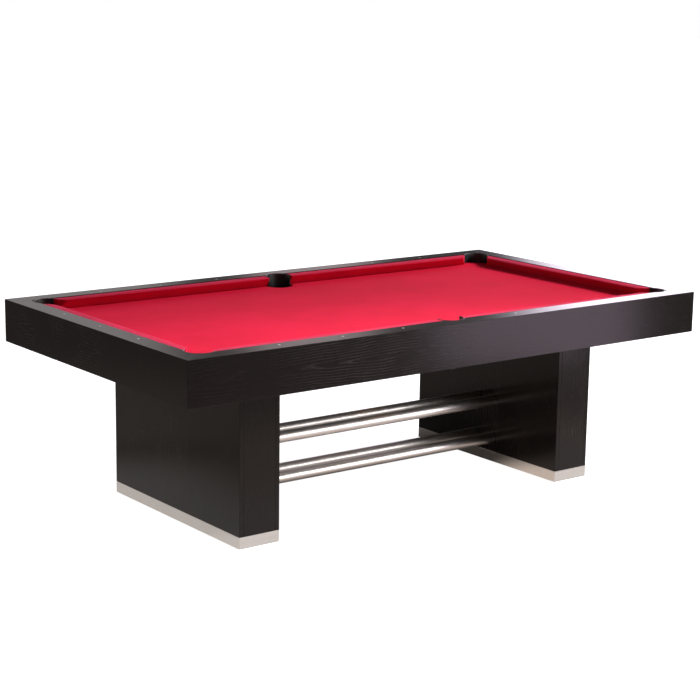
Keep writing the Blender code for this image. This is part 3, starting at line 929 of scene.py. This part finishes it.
def make_stud(foot, materials):
    """A stud with a real helical thread, and the hexagon it is turned by."""
    low, high, middle = box_of(f"foot_stud_{foot}")
    centre = middle.to_2d()
    bm = bmesh.new()
    rows = round((high.z - low.z) / THREAD_PITCH * THREAD_ROWS)
    rings = []
    for row in range(rows + 1):
        height = low.z + (high.z - low.z) * row / rows
        ease = min(1.0, (height - low.z) / STUD_END_LENGTH, (high.z - height) / STUD_END_LENGTH)
        ring = []
        for step in range(THREAD_STEPS):
            turn = math.tau * step / THREAD_STEPS
            crest = abs(((height / THREAD_PITCH - step / THREAD_STEPS) % 1) * 2 - 1)
            radius = STUD_RADIUS - THREAD_DEPTH * crest - STUD_END_TAPER * (1 - ease)
            ring.append(bm.verts.new((centre.x + radius * math.cos(turn),
                                      centre.y + radius * math.sin(turn), height)))
        rings.append(ring)
    for lower, upper in zip(rings, rings[1:]):
        join_rings(bm, lower, upper)
    bm.faces.new(rings[0])
    bm.faces.new(rings[-1])
    obj = finish_mesh(bm, f"foot_stud_{foot}_threaded", materials["stud_steel"])
    obj.data.set_sharp_from_angle(angle=math.radians(50))
    place_piece(obj, f"stud_{foot}", [f"foot_stud_{foot}"])
    nut = finish_mesh(hexagon(centre, HEX_BOTTOM, HEX_TOP, HEX_RADIUS), f"foot_hexagon_{foot}",
                      materials["stud_steel"], smooth=False)
    round_edges(nut, 0.0004, 2)
    place_piece(nut, f"stud_{foot}")


def hexagon(centre, bottom, top, radius, washer=0.0):
    """A six-sided head with a turned crown, above an optional washer."""
    bm = bmesh.new()
    chamfer = (top - bottom) * 0.14
    spokes = [(math.cos(math.tau * step / 6), math.sin(math.tau * step / 6)) for step in range(6)]
    rings = []
    for scale, height in ((0.90, bottom), (1.0, bottom + chamfer), (1.0, top - chamfer), (0.90, top)):
        rings.append([bm.verts.new((centre[0] + radius * scale * x, centre[1] + radius * scale * y,
                                    height)) for x, y in spokes])
    for lower, upper in zip(rings, rings[1:]):
        join_rings(bm, lower, upper)
    bm.faces.new(rings[0])
    bm.faces.new(rings[-1])
    if washer:
        plate = turned_mesh([(0, top), (radius * 1.25, top), (radius * 1.3, top + washer * 0.3),
                             (radius * 1.3, top + washer), (0, top + washer)], centre, 32)
        mesh = bpy.data.meshes.new("washer")
        plate.to_mesh(mesh)
        plate.free()
        bm.from_mesh(mesh)
        bpy.data.meshes.remove(mesh)
    return bm


# ---------------------------------------------------------------- fasteners under the table


def make_bolts(name, places, top, radius, height, materials):
    """One bolt head with its washer under each of the places."""
    for number, centre in enumerate(places, 1):
        bm = hexagon(centre, top - WASHER - height, top - WASHER, radius, WASHER)
        obj = finish_mesh(bm, f"{name}_{number:02d}", materials["stud_steel"])
        obj.data.set_sharp_from_angle(angle=math.radians(30))
        place_piece(obj, "table")


def make_fasteners(materials):
    """Bolts up through the slates into the rails, and through the long beams into the cross beams."""
    slate_under = box_of("slate_left")[0].z
    out = HALF_PLAY_Y + RAIL_BOLT_OUT
    rail_bolts = [(x, sign * out) for sign in (-1, 1) for x in LONG_RAIL_BOLTS]
    out = HALF_PLAY_X + RAIL_BOLT_OUT
    rail_bolts += [(sign * out, y) for sign in (-1, 1) for y in SHORT_RAIL_BOLTS]
    make_bolts("rail_bolt", rail_bolts, slate_under, *RAIL_BOLT, materials)
    beam_under = box_of("long_beam_front")[0].z
    beam_y = box_of("long_beam_back")[2].y
    frame_bolts = [(sign * box_of(f"cross_beam_{number}")[2].x, side * beam_y)
                   for number, sign in ((3, -1), (3, 1), (4, -1), (4, 1)) for side in (-1, 1)]
    make_bolts("frame_bolt", frame_bolts, beam_under, *FRAME_BOLT, materials)


# ---------------------------------------------------------------- carried-over CAD nodes


def material_of_node(node):
    """The name of the material that a carried-over CAD node gets."""
    if node.startswith(("apron", "rail")):
        return "_".join(node.split("_")[:2])
    if node.endswith(("outer_panel", "inner_panel")):
        return "panel_side"
    if node.endswith("_panel"):
        return "panel_end"
    if node.endswith("skirt"):
        return "plinth_aluminium"
    if node.startswith("slate"):
        return "slate"
    if node.startswith("long_beam"):
        return "timber_x"
    return "timber_y"


def dress_cad_nodes(materials):
    """Gives each CAD node that still shows its material and rounds its edges."""
    for node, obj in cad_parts.items():
        if obj.hide_render:
            continue
        obj.data.materials.clear()
        obj.data.materials.append(materials[material_of_node(node)])
        for start, width in EDGE_ROUNDING.items():
            if node.startswith(start):
                round_edges(obj, width)


# ---------------------------------------------------------------- camera, floor and lights


def make_camera():
    """Yaw turns from +Y towards +X, pitch is down, and roll is about the line of sight."""
    ahead = Vector((math.sin(CAMERA_YAW) * math.cos(CAMERA_PITCH),
                    math.cos(CAMERA_YAW) * math.cos(CAMERA_PITCH), -math.sin(CAMERA_PITCH)))
    level = Vector((math.cos(CAMERA_YAW), -math.sin(CAMERA_YAW), 0))
    up = level.cross(ahead)
    right = level * math.cos(CAMERA_ROLL) + up * math.sin(CAMERA_ROLL)
    up = up * math.cos(CAMERA_ROLL) - level * math.sin(CAMERA_ROLL)
    camera = bpy.data.objects.new("camera", bpy.data.cameras.new("camera"))
    camera.data.lens = CAMERA_LENS
    camera.data.sensor_width = 36.0
    camera.data.clip_end = 200.0
    turn = Matrix((right, up, -ahead)).transposed()
    camera.matrix_world = Matrix.Translation(CAMERA_PLACE) @ turn.to_4x4()
    bpy.context.scene.collection.objects.link(camera)
    bpy.context.scene.camera = camera


def make_lamp(name, place, target, size, power, spread, colour):
    lamp = bpy.data.lights.new(name, "AREA")
    lamp.shape = "RECTANGLE"
    lamp.size, lamp.size_y = size
    lamp.energy = power
    lamp.spread = math.radians(spread)
    lamp.color = colour
    obj = bpy.data.objects.new(name, lamp)
    obj.location = place
    obj.rotation_euler = (Vector(target) - Vector(place)).to_track_quat("-Z", "Y").to_euler()
    obj.visible_camera = False
    bpy.context.scene.collection.objects.link(obj)


def make_floor():
    """A pale sweep, white to the camera, which gives the table painted light: a glow that falls away
    from the plinths, and a painted shadow under the table.
    """
    low, high, middle = box_of("plinth_right_skirt")
    bm = bmesh.new()
    bmesh.ops.create_circle(bm, cap_ends=True, segments=96, radius=FLOOR_RADIUS)
    graph = Graph(bpy.data.materials.new("floor_white"))
    x, y, _ = graph.place()
    x_either_way = graph.math("ABSOLUTE", x)
    from_plinth = graph.length(graph.beyond(x_either_way, middle.x, (high.x - low.x) / 2),
                               graph.beyond(y, middle.y, (high.y - low.y) / 2))
    from_table = graph.length(graph.beyond(x, 0.0, HALF_X), graph.beyond(y, 0.0, HALF_Y))
    ring = graph.times(graph.span(from_table, *FLOOR_SHADOW), graph.span(from_table, *FLOOR_FADE))
    front = graph.times(graph.span(y, *FRONT_START), graph.span(y, *FRONT_FADE))
    front = graph.times(front, graph.span(x_either_way, *FRONT_ENDS))
    warm = graph.math("MAXIMUM", front, ring)
    halo = graph.math("MAXIMUM", graph.span(x_either_way, *PLINTH_HALO_X),
                      graph.span(y, *PLINTH_HALO_Y))
    halo = graph.times(halo, graph.span(from_plinth, *PLINTH_HALO))
    glow = graph.math("MAXIMUM", warm, halo)
    tint = graph.mix(halo, FLOOR_GLOW_TINT, (1.0, 1.0, 1.0))
    seen = graph.node("ShaderNodeLightPath").outputs["Is Camera Ray"]
    strength = graph.plus(graph.times(glow, graph.minus(1.0, seen)), graph.times(seen, FLOOR_SEEN_GLOW))
    graph.set(Base_Color=graph.mix(seen, (FLOOR_DIM_COLOUR,) * 3, (FLOOR_SEEN_COLOUR,) * 3),
              Roughness=0.9, Emission_Color=graph.mix(seen, tint, (1.0, 1.0, 1.0)),
              Emission_Strength=strength)
    floor = finish_mesh(bm, "floor", graph.owner, smooth=False)
    floor.location.z = -0.0002


def background(graph, colour, strength):
    """A world shader of one colour, whose strength may be a socket."""
    node = graph.node("ShaderNodeBackground")
    node.inputs["Color"].default_value = (*colour, 1.0)
    graph.put(node.inputs["Strength"], strength)
    return node.outputs[0]


def join_shaders(graph, kind, *inputs):
    """A node that adds or mixes shaders, with its inputs in order."""
    node = graph.node(kind)
    for socket, value in zip(node.inputs, inputs):
        graph.put(socket, value)
    return node.outputs[0]


def make_world():
    """White where the camera sees past the floor, and a dim studio with a window elsewhere."""
    graph = Graph(bpy.data.worlds.new("studio"))
    split = graph.node("ShaderNodeSeparateXYZ")
    graph.put(split.inputs[0], graph.node("ShaderNodeTexCoord").outputs["Generated"])
    x, y, z = split.outputs
    azimuth = graph.math("DEGREES", graph.math("ARCTAN2", y, x))
    height = graph.math("DEGREES", graph.math("ARCSINE", z))
    around = background(graph, (1.0, 1.0, 1.0), AMBIENT)
    for _, start, end, top, glow, colour in PATCHES:
        patch = graph.times(graph.span(azimuth, *start), graph.span(azimuth, *reversed(end)))
        patch = graph.times(patch, graph.span(height, *reversed(top), 0.0, glow))
        patch = background(graph, colour, patch)
        around = join_shaders(graph, "ShaderNodeAddShader", around, patch)
    seen = graph.node("ShaderNodeLightPath").outputs["Is Camera Ray"]
    white = background(graph, (1.0, 1.0, 1.0), 1.0)
    choose = join_shaders(graph, "ShaderNodeMixShader", seen, around, white)
    graph.put(graph.tree.nodes["World Output"].inputs[0], choose)
    bpy.context.scene.world = graph.owner
    bpy.context.scene.view_settings.view_transform = "Standard"


def make_stage():
    make_floor()
    make_world()
    for lamp in LAMPS:
        make_lamp(*lamp)


make_camera()
make_stage()
materials = make_materials()
make_bed_cloth(materials)
make_cushions(materials)
for pocket in POCKETS:
    make_liner(pocket, materials)
make_sights(materials)
make_tubes(materials)
for foot in FOOT_NAMES:
    make_pad(foot, materials)
    make_stud(foot, materials)
make_fasteners(materials)
dress_cad_nodes(materials)

bpy.context.view_layer.update()
